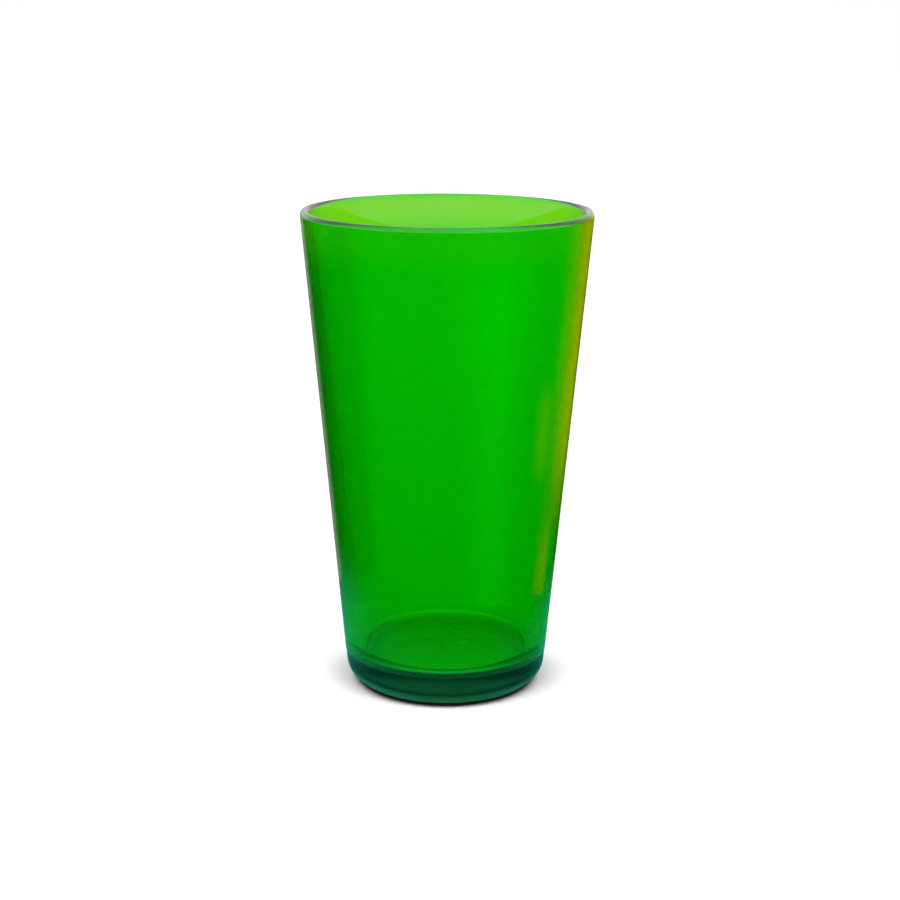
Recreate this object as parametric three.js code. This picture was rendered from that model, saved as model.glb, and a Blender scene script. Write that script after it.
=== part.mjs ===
// Soft drink glass: a conical tumbler with a heavy base, made of two pieces.
// The body is one piece of pressed glass: base, wall and lip.
// A thin coat of translucent green lacquer covers the outside of its wall and lip.
// Millimetres, +Z up. The origin is the middle of the ring that the glass stands on.

import * as THREE from 'three';

// Overall sizes
const height = 149.2;
const mouthDiameter = 88.9; // across the outside of the lip
const baseDiameter = 61.5; // where the straight line of the wall would meet the table

// Wall: it thickens evenly from the round lip down to the floor of the drink
const wallAtLip = 2.7;
const wallAtFloor = 5.6;

// Base: thick, with a rounded heel and a shallow hollow under it
const baseThickness = 10; // from the table to the floor of the drink
const floorFilletRadius = 5;
const heelRadius = 7.5;
const standingRingWidth = 4;
const hollowDepth = 0.8;

// Coat: from just above the base up over the outside of the lip
const coatThickness = 0.1;
const coatClearance = 0.02; // between the coat and the glass
const coatAboveBase = 0.5; // its lower edge, above the floor of the drink
const coatOverLip = THREE.MathUtils.degToRad(60); // its upper edge, past the widest part of the lip

// Facets
const turnSegments = 72;
const arcStep = THREE.MathUtils.degToRad(15);
const leastArcSteps = 3;

// Looks
const tealTintedGlass = { color: 0x9fd0c0, roughness: 0.05, metalness: 0, opacity: 0.4 };
const greenLacquer = { color: 0x00b000, roughness: 0.12, metalness: 0, opacity: 0.75 };

// Sizes that follow from these. Outlines are drawn as (distance from the axis, height).
const lipRadius = wallAtLip / 2;
const lipCentre = new THREE.Vector2(mouthDiameter / 2 - lipRadius, height - lipRadius);

// One straight side of the wall, from its foot up to where it touches the round of the lip:
// its foot, its direction upwards and its normal out of the glass.
function wallSide(foot, outwards) {
  const toLip = lipCentre.clone().sub(foot);
  const turn = Math.asin(lipRadius / toLip.length());
  const along = toLip.normalize().rotateAround(new THREE.Vector2(), -outwards * turn);
  const normal = new THREE.Vector2(along.y, -along.x).multiplyScalar(outwards);
  return { foot, along, normal };
}

// The point of a side at a height, moved out of the glass by an offset.
function pointOnSide(side, atHeight, offset = 0) {
  const travel = (atHeight - side.foot.y) / side.along.y;
  return side.foot.clone().addScaledVector(side.along, travel).addScaledVector(side.normal, offset);
}

// Points on an arc, with both of its ends.
function arc(centre, radius, from, to) {
  const steps = Math.max(leastArcSteps, Math.ceil(Math.abs(to - from) / arcStep));
  const points = [];
  for (let step = 0; step <= steps; step += 1) {
    const angle = THREE.MathUtils.lerp(from, to, step / steps);
    points.push(new THREE.Vector2(Math.cos(angle), Math.sin(angle)).multiplyScalar(radius).add(centre));
  }
  return points;
}

// The angle of a vector, from -PI to PI.
function angleOf(vector) {
  return Math.atan2(vector.y, vector.x);
}

const outerSide = wallSide(new THREE.Vector2(baseDiameter / 2, 0), 1);
const wallFoot = pointOnSide(outerSide, baseThickness);
const innerSide = wallSide(new THREE.Vector2(wallFoot.x - wallAtFloor, wallFoot.y), -1);

// The hollow under the base, from the axis out to the ring that the glass stands on.
function hollowOutline(edgeRadius) {
  const domeRadius = (edgeRadius ** 2 + hollowDepth ** 2) / (2 * hollowDepth);
  const centre = new THREE.Vector2(0, hollowDepth - domeRadius);
  const atEdge = angleOf(new THREE.Vector2(edgeRadius, 0).sub(centre));
  const [, ...rest] = arc(centre, domeRadius, Math.PI / 2, atEdge);
  return [new THREE.Vector2(0, hollowDepth), ...rest];
}

// The heel, from the standing ring round to the outside of the wall.
function heelOutline() {
  const rise = heelRadius * (1 + outerSide.normal.y);
  const centre = pointOnSide(outerSide, rise, -heelRadius);
  return arc(centre, heelRadius, -Math.PI / 2, angleOf(outerSide.normal));
}

// The lip, from the outside of the wall over its widest part to the inside.
function lipOutline() {
  return [
    ...arc(lipCentre, lipRadius, angleOf(outerSide.normal), 0).slice(0, -1),
    ...arc(lipCentre, lipRadius, 0, angleOf(innerSide.normal)),
  ];
}

// The floor of the drink, from the inside of the wall round its fillet to the axis.
function floorOutline() {
  const rise = baseThickness + floorFilletRadius * (1 - innerSide.normal.y);
  const centre = pointOnSide(innerSide, rise, floorFilletRadius);
  const fillet = arc(centre, floorFilletRadius, angleOf(innerSide.normal.clone().negate()), -Math.PI / 2);
  return [...fillet, new THREE.Vector2(0, baseThickness)];
}

// The whole section of the glass, from the axis under the base to the axis on the floor.
function bodyOutline() {
  const heel = heelOutline();
  const hollow = hollowOutline(heel[0].x - standingRingWidth);
  return [...hollow, ...heel, ...lipOutline(), ...floorOutline()];
}

// One face of the coat, which follows the outside of the glass at an offset.
function coatFace(offset) {
  return [
    pointOnSide(outerSide, baseThickness + coatAboveBase, offset),
    ...arc(lipCentre, lipRadius + offset, angleOf(outerSide.normal), 0).slice(0, -1),
    ...arc(lipCentre, lipRadius + offset, 0, coatOverLip),
  ];
}

// The section of the coat: up its outer face, down its inner face and closed at the foot.
function coatOutline() {
  const outerFace = coatFace(coatClearance + coatThickness);
  const innerFace = coatFace(coatClearance).reverse();
  return [...outerFace, ...innerFace, outerFace[0]];
}

// A named piece, turned from its outline about the Z axis.
function turnedPiece(name, outline, look) {
  const geometry = new THREE.LatheGeometry(outline, turnSegments).rotateX(Math.PI / 2);
  const material = new THREE.MeshStandardMaterial({ ...look, transparent: true });
  const piece = new THREE.Mesh(geometry, material);
  piece.name = name;
  return piece;
}

const softDrinkGlass = new THREE.Group();
softDrinkGlass.name = 'soft_drink_glass';
softDrinkGlass.add(turnedPiece('glass_body', bodyOutline(), tealTintedGlass));
softDrinkGlass.add(turnedPiece('green_coat', coatOutline(), greenLacquer));

export default softDrinkGlass;
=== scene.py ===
"""A soft drink glass: teal-tinted pressed glass with a translucent green lacquer on its wall."""

import logging
import math
from dataclasses import dataclass
from enum import Enum

import bpy
from mathutils import Euler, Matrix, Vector


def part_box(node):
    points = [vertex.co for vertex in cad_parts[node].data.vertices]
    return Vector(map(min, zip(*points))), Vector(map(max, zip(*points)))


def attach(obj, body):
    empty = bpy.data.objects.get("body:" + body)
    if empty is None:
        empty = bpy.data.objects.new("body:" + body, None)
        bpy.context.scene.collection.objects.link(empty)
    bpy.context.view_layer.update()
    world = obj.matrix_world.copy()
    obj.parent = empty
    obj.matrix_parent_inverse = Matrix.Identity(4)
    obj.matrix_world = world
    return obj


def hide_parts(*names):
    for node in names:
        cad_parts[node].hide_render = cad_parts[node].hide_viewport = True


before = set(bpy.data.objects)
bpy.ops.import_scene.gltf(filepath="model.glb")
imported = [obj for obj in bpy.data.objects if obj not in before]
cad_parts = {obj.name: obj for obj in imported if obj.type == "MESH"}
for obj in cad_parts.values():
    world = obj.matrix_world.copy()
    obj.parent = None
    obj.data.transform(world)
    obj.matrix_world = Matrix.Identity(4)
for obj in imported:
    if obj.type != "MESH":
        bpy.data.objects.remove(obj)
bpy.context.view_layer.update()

LOG = logging.getLogger("soft_drink_glass")
MM = 0.001
FULL_TURN = 2 * math.pi
RIGHT_ANGLE = math.pi / 2
WHITE = (1.0, 1.0, 1.0, 1.0)

# Facets: points that are nearer than the merge length are one point
MERGE = 0.002 * MM
TURN_STEPS = 192
DISC_CORNERS = 96
SHARP_EDGE = math.radians(40)

# A Mix node's colour sockets share their names with its other sockets, so they go by number
MIX_FIRST = 6
MIX_SECOND = 7
MIX_RESULT = 2


def linear_colour(hex_colour: str) -> tuple[float, float, float, float]:
    """Turn an sRGB hex colour into a linear one, by the sRGB standard's curve.

    Args:
        hex_colour: The colour as "#RRGGBB".

    Returns:
        Red, green and blue in linear light, and an alpha of 1.
    """
    parts = [int(hex_colour[i:i + 2], 16) / 255 for i in (1, 3, 5)]
    red, green, blue = [p / 12.92 if p <= 0.04045 else ((p + 0.055) / 1.055) ** 2.4 for p in parts]
    return red, green, blue, 1.0


def add_node(
    tree: bpy.types.NodeTree,
    kind: str,
    settings: dict[str, object] | None = None,
    values: dict[str | int, object] | None = None,
    links: dict[str | int, bpy.types.NodeSocket] | None = None,
) -> bpy.types.Node:
    """Add a node to a tree, set it up and link its inputs.

    Args:
        tree: The node tree.
        kind: The node's type name.
        settings: The node's own properties.
        values: Values for its input sockets, by name or number.
        links: Output sockets to link to its inputs, by name or number.

    Returns:
        The new node.
    """
    node = tree.nodes.new(kind)
    for name, value in (settings or {}).items():
        setattr(node, name, value)
    for name, value in (values or {}).items():
        node.inputs[name].default_value = value
    for name, socket in (links or {}).items():
        tree.links.new(socket, node.inputs[name])
    return node


def combine(
    tree: bpy.types.NodeTree,
    operation: str,
    first: bpy.types.NodeSocket,
    second: bpy.types.NodeSocket,
) -> bpy.types.NodeSocket:
    """Add a Math node for two values.

    Args:
        tree: The node tree.
        operation: What the node does with them.
        first: The first value's socket.
        second: The second value's socket.

    Returns:
        The result's socket.
    """
    node = add_node(tree, "ShaderNodeMath", {"operation": operation}, links={0: first, 1: second})
    return node.outputs[0]


def smooth_step(
    tree: bpy.types.NodeTree,
    value: bpy.types.NodeSocket,
    start: float,
    end: float,
    low: float = 0.0,
    high: float = 1.0,
) -> bpy.types.NodeSocket:
    """Add a node that eases from one level to another as a value goes through a range.

    Args:
        tree: The node tree.
        value: The value's socket.
        start: The value where the first level ends.
        end: The value where the second level begins.
        low: The first level.
        high: The second level.

    Returns:
        The level's socket.
    """
    node = add_node(tree, "ShaderNodeMapRange", {"interpolation_type": "SMOOTHSTEP"}, {
        "From Min": start,
        "From Max": end,
        "To Min": low,
        "To Max": high,
    }, {"Value": value})
    return node.outputs[0]


def mix_tints(
    tree: bpy.types.NodeTree,
    share: bpy.types.NodeSocket,
    first: str | bpy.types.NodeSocket,
    second: str | bpy.types.NodeSocket,
) -> bpy.types.NodeSocket:
    """Add a node that mixes two colours.

    Args:
        tree: The node tree.
        share: The socket of the second colour's share.
        first: The first colour, as "#RRGGBB" or a socket.
        second: The second colour, in the same way.

    Returns:
        The mixed colour's socket.
    """
    values = {}
    links = {0: share}
    for number, tint in ((MIX_FIRST, first), (MIX_SECOND, second)):
        if isinstance(tint, str):
            values[number] = linear_colour(tint)
        else:
            links[number] = tint
    return add_node(tree, "ShaderNodeMix", {"data_type": "RGBA"}, values, links).outputs[MIX_RESULT]


def mix_shaders(
    tree: bpy.types.NodeTree,
    share: bpy.types.NodeSocket,
    first: bpy.types.Node,
    second: bpy.types.Node,
) -> bpy.types.NodeSocket:
    """Add a node that mixes two shaders.

    Args:
        tree: The node tree.
        share: The socket of the second shader's share.
        first: The first shader's node.
        second: The second shader's node.

    Returns:
        The mixed shader's socket.
    """
    links = {0: share, 1: first.outputs[0], 2: second.outputs[0]}
    return add_node(tree, "ShaderNodeMixShader", links=links).outputs[0]


def distance_from_middle(tree: bpy.types.NodeTree) -> bpy.types.NodeSocket:
    """Add nodes that measure how far a point is from the middle of its object.

    Args:
        tree: The node tree.

    Returns:
        The distance's socket, in metres.
    """
    place = add_node(tree, "ShaderNodeTexCoord")
    links = {0: place.outputs["Object"]}
    length = add_node(tree, "ShaderNodeVectorMath", {"operation": "LENGTH"}, links=links)
    return length.outputs["Value"]


def new_material(name: str) -> bpy.types.Material:
    """Make an empty node material."""
    material = bpy.data.materials.new(name)
    material.use_nodes = True
    material.node_tree.nodes.clear()
    return material


class Outline:
    """A section drawn point by point, as (distance from the axis, height) in millimetres."""

    STEP = math.radians(6)
    LEAST_STEPS = 4

    def __init__(self) -> None:
        """Start with no points."""
        self.points: list[Vector] = []

    def to(self, *points: Vector) -> "Outline":
        """Draw straight lines to points.

        Args:
            points: Where the lines end, in order.

        Returns:
            The outline itself.
        """
        self.points.extend(Vector(point) for point in points)
        return self

    def arc(self, centre: Vector, radius: float, start: float, end: float) -> "Outline":
        """Draw an arc, after a straight line to its start.

        Args:
            centre: The arc's centre.
            radius: Its radius.
            start: The angle that it starts at, in radians.
            end: The angle that it ends at.

        Returns:
            The outline itself.
        """
        steps = max(self.LEAST_STEPS, math.ceil(abs(end - start) / self.STEP))
        for step in range(steps + 1):
            angle = start + (end - start) * step / steps
            self.to(centre + radius * Vector((math.cos(angle), math.sin(angle))))
        return self


def angle_of(vector: Vector) -> float:
    """Give a vector's angle in radians."""
    return math.atan2(vector.y, vector.x)


@dataclass(frozen=True)
class WallSide:
    """One straight side of the wall: its foot, its way up and its normal out of the glass."""

    foot: Vector
    along: Vector
    normal: Vector

    @classmethod
    def touching(cls, foot: Vector, centre: Vector, radius: float, outwards: int) -> "WallSide":
        """Lay a side from its foot so that it touches a circle.

        Args:
            foot: Its lower end.
            centre: The circle's centre.
            radius: The circle's radius.
            outwards: 1 where the normal points away from the axis, and -1 where it points to it.

        Returns:
            The side.
        """
        reach = centre - foot
        turn = angle_of(reach) - outwards * math.asin(radius / reach.length)
        along = Vector((math.cos(turn), math.sin(turn)))
        return cls(foot, along, outwards * Vector((along.y, -along.x)))

    def at(self, height: float, offset: float = 0.0) -> Vector:
        """Find the point of the side at a height, moved out of the glass by an offset.

        Args:
            height: The height, in millimetres.
            offset: How far to move it along the normal.

        Returns:
            The point.
        """
        travel = (height - self.foot.y) / self.along.y
        return self.foot + self.along * travel + self.normal * offset


@dataclass(frozen=True)
class Tumbler:
    """The glass's section, in millimetres. Its height and mouth come from the frame."""

    height: float
    mouth_radius: float
    base_radius: float = 30.75
    wall_at_lip: float = 2.7
    wall_at_floor: float = 5.6
    base_thickness: float = 10.0
    floor_fillet: float = 5.0
    heel_radius: float = 7.5
    standing_ring: float = 4.0
    hollow_depth: float = 0.8

    @property
    def lip_radius(self) -> float:
        """Give the radius of the round lip."""
        return self.wall_at_lip / 2

    @property
    def lip_centre(self) -> Vector:
        """Give the middle of the lip's round."""
        return Vector((self.mouth_radius - self.lip_radius, self.height - self.lip_radius))

    @property
    def outer_side(self) -> WallSide:
        """Lay the outside of the wall."""
        foot = Vector((self.base_radius, 0))
        return WallSide.touching(foot, self.lip_centre, self.lip_radius, 1)

    @property
    def inner_side(self) -> WallSide:
        """Lay the inside of the wall."""
        foot = self.outer_side.at(self.base_thickness) - Vector((self.wall_at_floor, 0))
        return WallSide.touching(foot, self.lip_centre, self.lip_radius, -1)

    @property
    def heel(self) -> Vector:
        """Give the middle of the heel's round."""
        outer = self.outer_side
        return outer.at(self.heel_radius * (1 + outer.normal.y), -self.heel_radius)

    def outline(self) -> Outline:
        """Draw the whole section, from the axis under the base round to the axis on the floor.

        Returns:
            The section.
        """
        outer, inner = self.outer_side, self.inner_side
        heel = self.heel
        fillet_rise = self.base_thickness + self.floor_fillet * (1 - inner.normal.y)
        fillet = inner.at(fillet_rise, self.floor_fillet)
        hollow_radius = heel.x - self.standing_ring
        dome_radius = (hollow_radius ** 2 + self.hollow_depth ** 2) / (2 * self.hollow_depth)
        dome = Vector((0, self.hollow_depth - dome_radius))
        dome_edge = angle_of(Vector((hollow_radius, 0)) - dome)
        section = Outline()
        section.arc(dome, dome_radius, RIGHT_ANGLE, dome_edge)
        section.arc(heel, self.heel_radius, -RIGHT_ANGLE, angle_of(outer.normal))
        section.arc(self.lip_centre, self.lip_radius, angle_of(outer.normal), 0)
        section.arc(self.lip_centre, self.lip_radius, 0, angle_of(inner.normal))
        section.arc(fillet, self.floor_fillet, angle_of(-inner.normal), -RIGHT_ANGLE)
        return section.to(Vector((0, self.base_thickness)))


@dataclass(frozen=True)
class Coating:
    """The coat's section, in millimetres. It follows the outside of the glass."""

    tumbler: Tumbler
    thickness: float = 0.1
    clearance: float = 0.02
    above_base: float = 0.5
    over_lip: float = 60.0

    def face(self, offset: float) -> Outline:
        """Draw one face of the coat, from its foot up over the outside of the lip.

        Args:
            offset: How far the face stands off the glass.

        Returns:
            The face's outline.
        """
        glass = self.tumbler
        side = glass.outer_side
        radius = glass.lip_radius + offset
        line = Outline().to(side.at(glass.base_thickness + self.above_base, offset))
        line.arc(glass.lip_centre, radius, angle_of(side.normal), 0)
        return line.arc(glass.lip_centre, radius, 0, math.radians(self.over_lip))

    def outline(self) -> Outline:
        """Draw the whole section, up the outer face and down the inner one, back to its start.

        Returns:
            The section.
        """
        outer = self.face(self.clearance + self.thickness).points
        inner = self.face(self.clearance).points
        return Outline().to(*outer, *reversed(inner), outer[0])


def turn_section(name: str, section: Outline) -> bpy.types.Object:
    """Turn a section on a lathe: draw it from one vertex by extruding, and spin it round the axis.

    Args:
        name: The new object's name.
        section: The section.

    Returns:
        The new object.
    """
    bpy.ops.object.select_all(action="DESELECT")
    points = [Vector((p.x * MM, 0, p.y * MM)) for p in section.points]
    bpy.ops.mesh.primitive_plane_add(size=MM)
    turned = bpy.context.object
    turned.name = turned.data.name = name
    bpy.ops.object.mode_set(mode="EDIT")
    bpy.ops.mesh.select_all(action="SELECT")
    bpy.ops.mesh.merge(type="CENTER")
    bpy.ops.transform.translate(value=points[0])
    for here, there in zip(points, points[1:]):
        if (there - here).length > MERGE:
            bpy.ops.mesh.extrude_vertices_move(TRANSFORM_OT_translate={"value": there - here})
    bpy.ops.mesh.select_all(action="SELECT")
    bpy.ops.mesh.remove_doubles(threshold=MERGE)
    bpy.ops.mesh.spin(steps=TURN_STEPS, angle=FULL_TURN, center=(0, 0, 0), axis=(0, 0, 1))
    bpy.ops.mesh.select_all(action="SELECT")
    bpy.ops.mesh.remove_doubles(threshold=MERGE)
    bpy.ops.mesh.normals_make_consistent(inside=False)
    bpy.ops.object.mode_set(mode="OBJECT")
    bpy.ops.object.shade_smooth_by_angle(angle=SHARP_EDGE)
    return turned


@dataclass(frozen=True)
class TurnedPiece:
    """A piece of the glass that is turned from a section and stands for a CAD node."""

    name: str
    section: Outline
    node: str
    slot: str

    def build(self, material: bpy.types.Material) -> None:
        """Turn the piece, give it its finish and tie it to the frame.

        Args:
            material: The finish's material.
        """
        piece = turn_section(self.name, self.section)
        piece.data.materials.append(material)
        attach(piece, "root")
        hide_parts(self.node)
        LOG.info("%s: %d faces", self.name, len(piece.data.polygons))


@dataclass(frozen=True)
class TintedGlass:
    """Pressed soda-lime glass with a teal tint, fire-polished, and dull underneath.

    Sizes and heights are in millimetres.
    """

    # The iron in it tints it: all but clear across the lip, and deep teal along the base
    ior: float = 1.52
    tint: str = "#00CDA6"
    absorption_per_mm: float = 0.095

    # Fire polish makes it mirror-smooth, but the mould leaves the underside dull, so the base is soft
    polish: float = 0.0
    frost: float = 0.5
    frost_full: float = 2.0
    frost_ends: float = 6.0

    # Pressed glass is never quite even: slow waves bend what is seen through it
    wave_size: float = 16.0
    wave_depth: float = 0.012

    def material(self) -> bpy.types.Material:
        """Make the glass's material.

        Returns:
            The material.
        """
        material = new_material("tinted soda-lime glass")
        tree = material.node_tree
        place = add_node(tree, "ShaderNodeTexCoord").outputs["Object"]
        axes = add_node(tree, "ShaderNodeSeparateXYZ", links={0: place})
        roughness = add_node(tree, "ShaderNodeMapRange", values={
            "From Min": self.frost_full * MM,
            "From Max": self.frost_ends * MM,
            "To Min": self.frost,
            "To Max": self.polish,
        }, links={"Value": axes.outputs["Z"]})
        waves = add_node(tree, "ShaderNodeTexNoise", values={
            "Scale": 1 / (self.wave_size * MM),
            "Detail": 0.0,
        }, links={"Vector": place})
        bump = add_node(tree, "ShaderNodeBump", values={
            "Distance": self.wave_depth * MM,
        }, links={"Height": waves.outputs[0]})
        glass = add_node(tree, "ShaderNodeBsdfPrincipled", values={
            "Base Color": WHITE,
            "IOR": self.ior,
            "Transmission Weight": 1.0,
        }, links={"Roughness": roughness.outputs[0], "Normal": bump.outputs[0]})
        depth = add_node(tree, "ShaderNodeVolumeAbsorption", values={
            "Color": linear_colour(self.tint),
            "Density": self.absorption_per_mm / MM,
        })
        add_node(tree, "ShaderNodeOutputMaterial", links={
            "Surface": glass.outputs["BSDF"],
            "Volume": depth.outputs["Volume"],
        })
        return material


@dataclass(frozen=True)
class GreenLacquer:
    """Translucent green lacquer, sprayed on the turning glass and cured to a gloss.

    Sizes and heights are in millimetres.
    """

    # A wet gloss, with a breath of haze in patches a few centimetres across
    ior: float = 1.5
    gloss: float = 0.0
    haze: float = 0.025
    haze_size: float = 30.0
    haze_range: tuple[float, float] = (0.4, 0.7)

    # Orange peel, the faint ripple of a sprayed film
    peel_size: float = 2.5
    peel_depth: float = 0.002

    # The film has run down a little before it cured, so it is a deeper green towards the foot
    tint: str = "#28E500"
    thin_at: float = 110.0
    thick_tint: str = "#18DE00"
    thick_at: float = 10.5

    # It feathers out at its lower edge, and is thinner at the lip, where its lighter, yellower tint
    # is partly painted light
    feather_tint: str = "#38DC90"
    feather_from: float = 10.5
    feather_to: float = 13.5
    # Painted light in part: the lip's tint also stands in for the warm light seen in the mouth
    lip_tint_with_painted_light: str = "#5AE518"
    lip_from: float = 134.0
    lip_to: float = 144.0

    # Soft upright bands, where the spray gun has passed more than once
    band_width: float = 22.0
    band_length: float = 160.0
    band_share: float = 0.2
    band_range: tuple[float, float] = (0.3, 0.7)

    def noise(
        self,
        tree: bpy.types.NodeTree,
        place: bpy.types.NodeSocket,
        size: float,
        detail: float,
    ) -> bpy.types.NodeSocket:
        """Add a noise of a real size.

        Args:
            tree: The node tree.
            place: The socket of the place on the film.
            size: The size of its patches.
            detail: How many finer layers it has.

        Returns:
            The noise's socket.
        """
        values = {"Scale": 1 / (size * MM), "Detail": detail}
        return add_node(tree, "ShaderNodeTexNoise", values=values, links={"Vector": place}).outputs[0]

    def thickness(
        self,
        tree: bpy.types.NodeTree,
        place: bpy.types.NodeSocket,
        height: bpy.types.NodeSocket,
    ) -> bpy.types.NodeSocket:
        """Add nodes that say how thick the film is, from 0 to 1.

        Args:
            tree: The node tree.
            place: The socket of the place on the film.
            height: The socket of the height above the table.

        Returns:
            The thickness's socket.
        """
        run = add_node(tree, "ShaderNodeMapRange", values={
            "From Min": self.thin_at * MM,
            "From Max": self.thick_at * MM,
        }, links={"Value": height})
        across = 1 / (self.band_width * MM)
        along = 1 / (self.band_length * MM)
        stretch = add_node(tree, "ShaderNodeMapping", values={
            "Scale": (across, across, along),
        }, links={"Vector": place})
        bands = add_node(tree, "ShaderNodeTexNoise", values={
            "Scale": 1.0,
            "Detail": 1.0,
        }, links={"Vector": stretch.outputs[0]})
        drift = add_node(tree, "ShaderNodeMapRange", values={
            "From Min": self.band_range[0],
            "From Max": self.band_range[1],
            "To Min": -self.band_share,
            "To Max": self.band_share,
        }, links={"Value": bands.outputs[0]})
        total = add_node(tree, "ShaderNodeMath", {"operation": "ADD", "use_clamp": True}, links={
            0: run.outputs[0],
            1: drift.outputs[0],
        })
        return total.outputs[0]

    def colour(
        self,
        tree: bpy.types.NodeTree,
        place: bpy.types.NodeSocket,
    ) -> bpy.types.NodeSocket:
        """Add nodes for the film's colour, from its foot to the lip.

        Args:
            tree: The node tree.
            place: The socket of the place on the film.

        Returns:
            The colour's socket.
        """
        height = add_node(tree, "ShaderNodeSeparateXYZ", links={0: place}).outputs["Z"]
        film = mix_tints(tree, self.thickness(tree, place, height), self.tint, self.thick_tint)
        full = smooth_step(tree, height, self.feather_from * MM, self.feather_to * MM)
        foot = mix_tints(tree, full, self.feather_tint, film)
        # Thinner and lighter at the lip: partly painted light, for the warm glow seen in the mouth
        thinned_and_lit = smooth_step(tree, height, self.lip_from * MM, self.lip_to * MM)
        return mix_tints(tree, thinned_and_lit, foot, self.lip_tint_with_painted_light)

    def material(self) -> bpy.types.Material:
        """Make the lacquer's material.

        Returns:
            The material.
        """
        material = new_material("green spray lacquer")
        tree = material.node_tree
        place = add_node(tree, "ShaderNodeTexCoord").outputs["Object"]
        colour = self.colour(tree, place)
        roughness = add_node(tree, "ShaderNodeMapRange", values={
            "From Min": self.haze_range[0],
            "From Max": self.haze_range[1],
            "To Min": self.gloss,
            "To Max": self.haze,
        }, links={"Value": self.noise(tree, place, self.haze_size, 3.0)})
        bump = add_node(tree, "ShaderNodeBump", values={
            "Distance": self.peel_depth * MM,
        }, links={"Height": self.noise(tree, place, self.peel_size, 1.0)})
        coat = add_node(tree, "ShaderNodeBsdfPrincipled", values={
            "IOR": self.ior,
            "Transmission Weight": 1.0,
        }, links={
            "Base Color": colour,
            "Roughness": roughness.outputs[0],
            "Normal": bump.outputs[0],
        })
        add_node(tree, "ShaderNodeOutputMaterial", links={"Surface": coat.outputs["BSDF"]})
        return material


class Seen(Enum):
    """What shows a piece of the stage: each option lists the kinds of rays that meet it."""

    IN_REFLECTIONS = ("glossy",)
    THROUGH_GLASS = ("transmission",)
    AS_SHADOW = ("shadow", "diffuse")

    def limit(self, piece: bpy.types.Object) -> None:
        """Hide a piece from all other rays."""
        for kind in ("camera", "diffuse", "glossy", "transmission", "volume_scatter", "shadow"):
            setattr(piece, f"visible_{kind}", kind in self.value)


@dataclass(frozen=True)
class Card:
    """An upright card near the glass, facing it, that only the glass shows.

    Sizes are in millimetres. Its bearing is in degrees from straight behind towards the right, and
    its soft edges are shares of its width and height.
    """

    name: str
    seen: Seen
    colour: str
    level: float
    bearing: float
    distance: float
    width: float
    foot: float
    top: float
    soft_sides: float = 0.3
    soft_ends: float = 0.1

    HALF = 0.5

    def material(self) -> bpy.types.Material:
        """Make the card's even glow, which fades out towards its edges.

        Returns:
            The material.
        """
        material = new_material(self.name)
        tree = material.node_tree
        place = add_node(tree, "ShaderNodeTexCoord")
        axes = add_node(tree, "ShaderNodeSeparateXYZ", links={0: place.outputs["UV"]})
        shares = []
        for axis, soft in (("X", self.soft_sides), ("Y", self.soft_ends)):
            off = add_node(tree, "ShaderNodeMath", {"operation": "SUBTRACT"}, {
                1: self.HALF,
            }, {0: axes.outputs[axis]})
            far = add_node(tree, "ShaderNodeMath", {"operation": "ABSOLUTE"}, links={
                0: off.outputs[0],
            })
            shares.append(smooth_step(tree, far.outputs[0], self.HALF, self.HALF - soft))
        share = combine(tree, "MULTIPLY", *shares)
        clear = add_node(tree, "ShaderNodeBsdfTransparent")
        lit = add_node(tree, "ShaderNodeEmission", values={
            "Color": linear_colour(self.colour),
            "Strength": self.level,
        })
        mix = mix_shaders(tree, share, clear, lit)
        add_node(tree, "ShaderNodeOutputMaterial", links={"Surface": mix})
        return material

    def build(self) -> None:
        """Stand the card on its bearing."""
        bpy.ops.object.select_all(action="DESELECT")
        bearing = math.radians(self.bearing)
        bpy.ops.mesh.primitive_plane_add(
            size=MM,
            location=(
                self.distance * math.sin(bearing) * MM,
                self.distance * math.cos(bearing) * MM,
                (self.foot + self.top) / 2 * MM,
            ),
            rotation=(RIGHT_ANGLE, 0, -bearing),
        )
        card = bpy.context.object
        card.name = self.name
        card.scale = (self.width, self.top - self.foot, 1)
        bpy.ops.object.transform_apply()
        card.data.materials.append(self.material())
        self.seen.limit(card)
        LOG.info("%s: stands at %d degrees", self.name, self.bearing)


def lay_disc(name: str, radius: float, place: Vector) -> bpy.types.Object:
    """Lay a flat disc.

    Args:
        name: The new object's name.
        radius: Its radius, in millimetres.
        place: Where its middle lies, in millimetres.

    Returns:
        The new object.
    """
    bpy.ops.object.select_all(action="DESELECT")
    bpy.ops.mesh.primitive_circle_add(
        vertices=DISC_CORNERS,
        radius=radius * MM,
        fill_type="NGON",
        location=place * MM,
    )
    disc = bpy.context.object
    disc.name = name
    return disc


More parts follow.
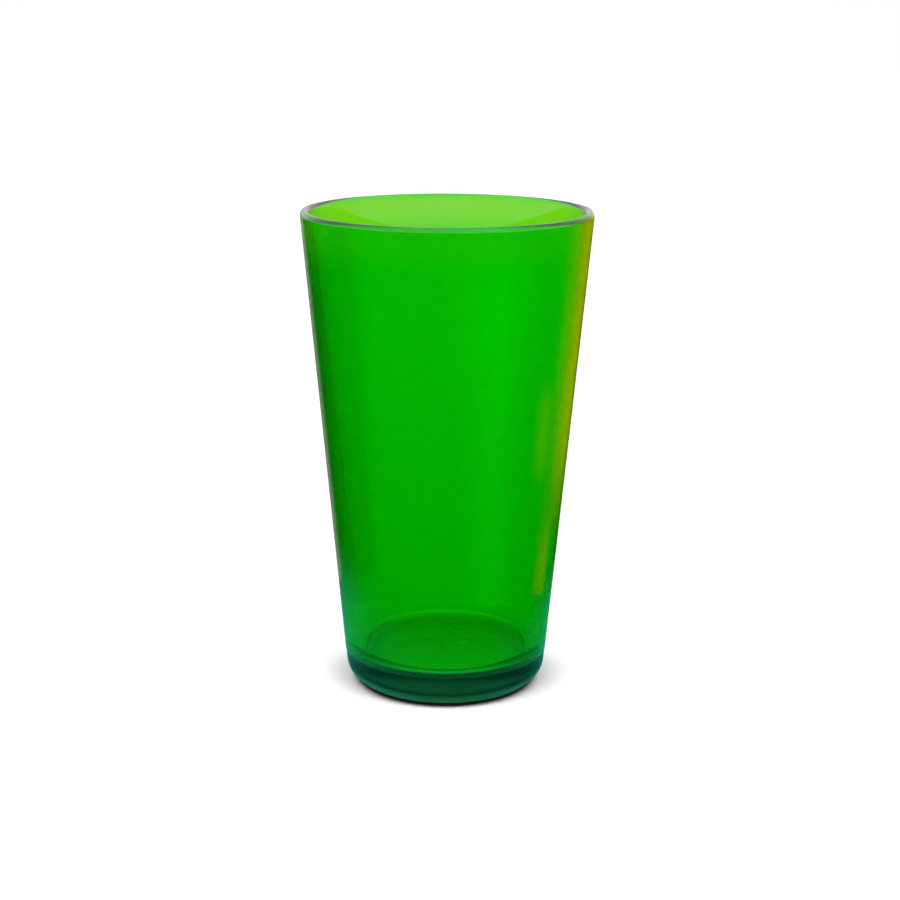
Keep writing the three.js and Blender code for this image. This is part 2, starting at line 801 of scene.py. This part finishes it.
# Soft cards that stand for the room: what the glass shows behind it, and what its wall mirrors
CARDS = (
    Card(
        "peach_back", Seen.THROUGH_GLASS, "#FFAA59", level=2.4, bearing=0, distance=700,
        width=800, foot=0, top=130, soft_sides=0.2, soft_ends=0.1,
    ),
    Card(
        "white_back", Seen.IN_REFLECTIONS, "#FFFFFF", level=1.0, bearing=0, distance=700,
        width=260, foot=0, top=160,
    ),
    Card(
        "pale_card", Seen.IN_REFLECTIONS, "#C8C8C8", level=0.5, bearing=-34, distance=105,
        width=90, foot=-20, top=160,
    ),
    Card(
        "warm_card", Seen.IN_REFLECTIONS, "#FFC000", level=0.9, bearing=60, distance=110,
        width=136, foot=10, top=190, soft_sides=0.5, soft_ends=0.3,
    ),
    Card(
        "warm_low", Seen.IN_REFLECTIONS, "#FF8C00", level=0.55, bearing=77, distance=97,
        width=54, foot=-22, top=40, soft_sides=0.45, soft_ends=0.45,
    ),
    Card(
        "warm_side", Seen.IN_REFLECTIONS, "#FFC000", level=0.6, bearing=94, distance=119,
        width=56, foot=30, top=76, soft_sides=0.5, soft_ends=0.4,
    ),
    Card(
        "grey_flag", Seen.THROUGH_GLASS, "#D6D6D6", level=1.0, bearing=-64, distance=60,
        width=110, foot=0, top=140, soft_sides=0.3, soft_ends=0.15,
    ),
    Card(
        "bright_strip", Seen.THROUGH_GLASS, "#FFFFFF", level=1.2, bearing=18, distance=66,
        width=44, foot=-30, top=140, soft_sides=0.5, soft_ends=0.2,
    ),
)


@dataclass(frozen=True)
class Studio:
    """The stage: camera, floor, soft light, cards and a white background.

    Sizes are in millimetres, and angles in degrees.
    """

    tumbler: Tumbler
    cards: tuple[Card, ...] = CARDS

    # The camera, and the pixel of the photograph where the middle of the glass lies
    camera_distance: float = 600.0
    camera_elevation: float = 13.99
    camera_roll: float = 0.252
    focal_pixels: float = 1922.9
    frame_pixels: float = 900.0
    axis_pixel: tuple[float, float] = (446.23, 448.68)
    sensor: float = 36.0

    # The white floor, with a painted shadow: a soft dark ring round the base, which only the glass
    # shows
    floor_radius: float = 4000.0
    floor_drop: float = 0.05
    shadow_ring_starts: float = 20.0
    shadow_ring_full: float = 29.0
    shadow_ring_fades: float = 35.0
    shadow_ring_ends: float = 52.0
    shadow_ring_level: float = 0.44

    # The dark sheet on the floor, which the wall mirrors
    sheet_radius: float = 1500.0
    sheet_drop: float = 0.02
    sheet_shift: float = 35.0
    sheet_aside: float = -14.0
    teal_colour: str = "#2E9488"
    teal_full: float = 50.0
    teal_ends: float = 125.0

    # The block that casts the shadow
    core_height: float = 12.0
    core_radius: float = 31.0
    core_round: float = 6.0

    # The light
    world_light: float = 0.1
    lamp_level: float = 0.62
    lamp_angle: float = 44.0
    lamp_front_lean: float = 18.0
    lamp_side_lean: float = 24.0
    path_bounces: int = 48
    mirror_bounces: int = 24

    def camera(self) -> None:
        """Set the camera where the photograph was taken from."""
        elevation = math.radians(self.camera_elevation)
        back = Vector((0, -math.cos(elevation), math.sin(elevation)))
        middle = self.frame_pixels / 2
        turn = math.atan((middle - self.axis_pixel[0]) / self.focal_pixels)
        tilt = math.atan((middle - self.axis_pixel[1]) / self.focal_pixels)
        data = bpy.data.cameras.new("camera")
        data.sensor_width = self.sensor
        data.lens = self.focal_pixels * self.sensor / self.frame_pixels
        data.clip_start = MM
        camera = bpy.data.objects.new("camera", data)
        aim_point = Vector((0, 0, self.tumbler.height / 2))
        camera.location = (aim_point + back * self.camera_distance) * MM
        facing = back.to_track_quat("Z", "Y")
        aim = Euler((-tilt, -turn, math.radians(self.camera_roll))).to_quaternion()
        camera.rotation_mode = "QUATERNION"
        camera.rotation_quaternion = facing @ aim
        bpy.context.scene.collection.objects.link(camera)
        bpy.context.scene.camera = camera

    def floor(self) -> None:
        """Lay a white floor that takes the shadow, and that the glass shows with a painted shadow, a
        soft dark ring.
        """
        floor = lay_disc("floor", self.floor_radius, Vector((0, 0, -self.floor_drop)))
        material = new_material("white paper with a painted shadow ring")
        tree = material.node_tree
        rays = add_node(tree, "ShaderNodeLightPath").outputs
        in_glass = combine(tree, "MAXIMUM", rays["Is Glossy Ray"], rays["Is Transmission Ray"])
        paper = add_node(tree, "ShaderNodeBsdfDiffuse", values={"Color": WHITE})
        # Painted shadow: what the glass shows of the floor glows dimmer in a soft ring round the base
        reach = distance_from_middle(tree)
        inside = smooth_step(
            tree, reach, self.shadow_ring_starts * MM, self.shadow_ring_full * MM, 1.0, self.shadow_ring_level
        )
        outside = smooth_step(
            tree, reach, self.shadow_ring_fades * MM, self.shadow_ring_ends * MM, 0.0, 1.0 - self.shadow_ring_level
        )
        white = add_node(tree, "ShaderNodeEmission", values={"Color": WHITE}, links={
            "Strength": combine(tree, "ADD", inside, outside),
        })
        mix = mix_shaders(tree, in_glass, paper, white)
        add_node(tree, "ShaderNodeOutputMaterial", links={"Surface": mix})
        floor.data.materials.append(material)

    def dark_sheet(self) -> None:
        """Lay a black sheet with a teal middle round the glass, which only reflections show."""
        place = Vector((self.sheet_aside, self.sheet_shift, -self.sheet_drop))
        sheet = lay_disc("dark_sheet", self.sheet_radius, place)
        material = new_material("black velvet with a teal middle")
        tree = material.node_tree
        reach = distance_from_middle(tree)
        light = add_node(tree, "ShaderNodeEmission", values={
            "Color": linear_colour(self.teal_colour),
        }, links={"Strength": smooth_step(tree, reach, self.teal_ends * MM, self.teal_full * MM)})
        add_node(tree, "ShaderNodeOutputMaterial", links={"Surface": light.outputs[0]})
        sheet.data.materials.append(material)
        Seen.IN_REFLECTIONS.limit(sheet)

    def shadow_core(self) -> bpy.types.Object:
        """Put a dark block inside the base, which only the floor's shadow shows.

        Returns:
            The block.
        """
        rim = Vector((self.core_radius, self.core_height))
        edge = Vector((self.core_radius - self.core_round, self.core_round))
        section = Outline().to(Vector((0, 0))).arc(edge, self.core_round, -RIGHT_ANGLE, 0)
        core = turn_section("shadow_core", section.to(rim, Vector((0, self.core_height))))
        material = new_material("black velvet")
        tree = material.node_tree
        dark = add_node(tree, "ShaderNodeEmission", values={"Strength": 0.0})
        add_node(tree, "ShaderNodeOutputMaterial", links={"Surface": dark.outputs[0]})
        core.data.materials.append(material)
        Seen.AS_SHADOW.limit(core)
        return core

    def light(self, core: bpy.types.Object) -> None:
        """Light the floor softly from above, with a shadow of the base alone.

        Args:
            core: The block that casts the shadow.
        """
        casters = bpy.data.collections.new("shadow_casters")
        casters.objects.link(core)
        leans = {"left_light": -self.lamp_side_lean, "right_light": self.lamp_side_lean}
        for name, lean in leans.items():
            data = bpy.data.lights.new(name, "SUN")
            data.energy = self.lamp_level * math.pi
            data.angle = math.radians(self.lamp_angle)
            lamp = bpy.data.objects.new(name, data)
            lamp.rotation_euler = (math.radians(self.lamp_front_lean), math.radians(lean), 0)
            bpy.context.scene.collection.objects.link(lamp)
            lamp.visible_glossy = False
            lamp.visible_transmission = False
            lamp.light_linking.blocker_collection = casters

    def world(self) -> None:
        """Light the scene softly from all round, with white behind it."""
        world = bpy.data.worlds.new("soft white room")
        bpy.context.scene.world = world
        world.use_nodes = True
        tree = world.node_tree
        tree.nodes.clear()
        rays = add_node(tree, "ShaderNodeLightPath").outputs
        in_glass = combine(tree, "MAXIMUM", rays["Is Glossy Ray"], rays["Is Transmission Ray"])
        seen = combine(tree, "MAXIMUM", rays["Is Camera Ray"], in_glass)
        light = add_node(tree, "ShaderNodeBackground", values={
            "Color": WHITE,
            "Strength": self.world_light,
        })
        white = add_node(tree, "ShaderNodeBackground", values={"Color": WHITE, "Strength": 1.0})
        mix = mix_shaders(tree, seen, light, white)
        add_node(tree, "ShaderNodeOutputWorld", links={"Surface": mix})

    def settings(self) -> None:
        """Show colours as they are written, and let light pass all the walls of the glass."""
        scene = bpy.context.scene
        scene.view_settings.view_transform = "Standard"
        scene.cycles.max_bounces = self.path_bounces
        scene.cycles.transmission_bounces = self.path_bounces
        scene.cycles.glossy_bounces = self.mirror_bounces

    def build(self) -> None:
        """Set up the whole stage."""
        self.camera()
        self.floor()
        self.dark_sheet()
        self.light(self.shadow_core())
        for card in self.cards:
            card.build()
        self.world()
        self.settings()


def main() -> None:
    """Build the glass, its coat and the stage."""
    logging.basicConfig(level=logging.INFO)
    _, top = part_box("glass_body")
    tumbler = Tumbler(height=top.z / MM, mouth_radius=top.x / MM)
    glass = TurnedPiece("pressed_glass", tumbler.outline(), "glass_body", "tinted_glass")
    glass.build(TintedGlass().material())
    coating = Coating(tumbler).outline()
    coat = TurnedPiece("lacquer_coat", coating, "green_coat", "green_lacquer")
    coat.build(GreenLacquer().material())
    Studio(tumbler).build()


if __name__ == "__main__":
    main()
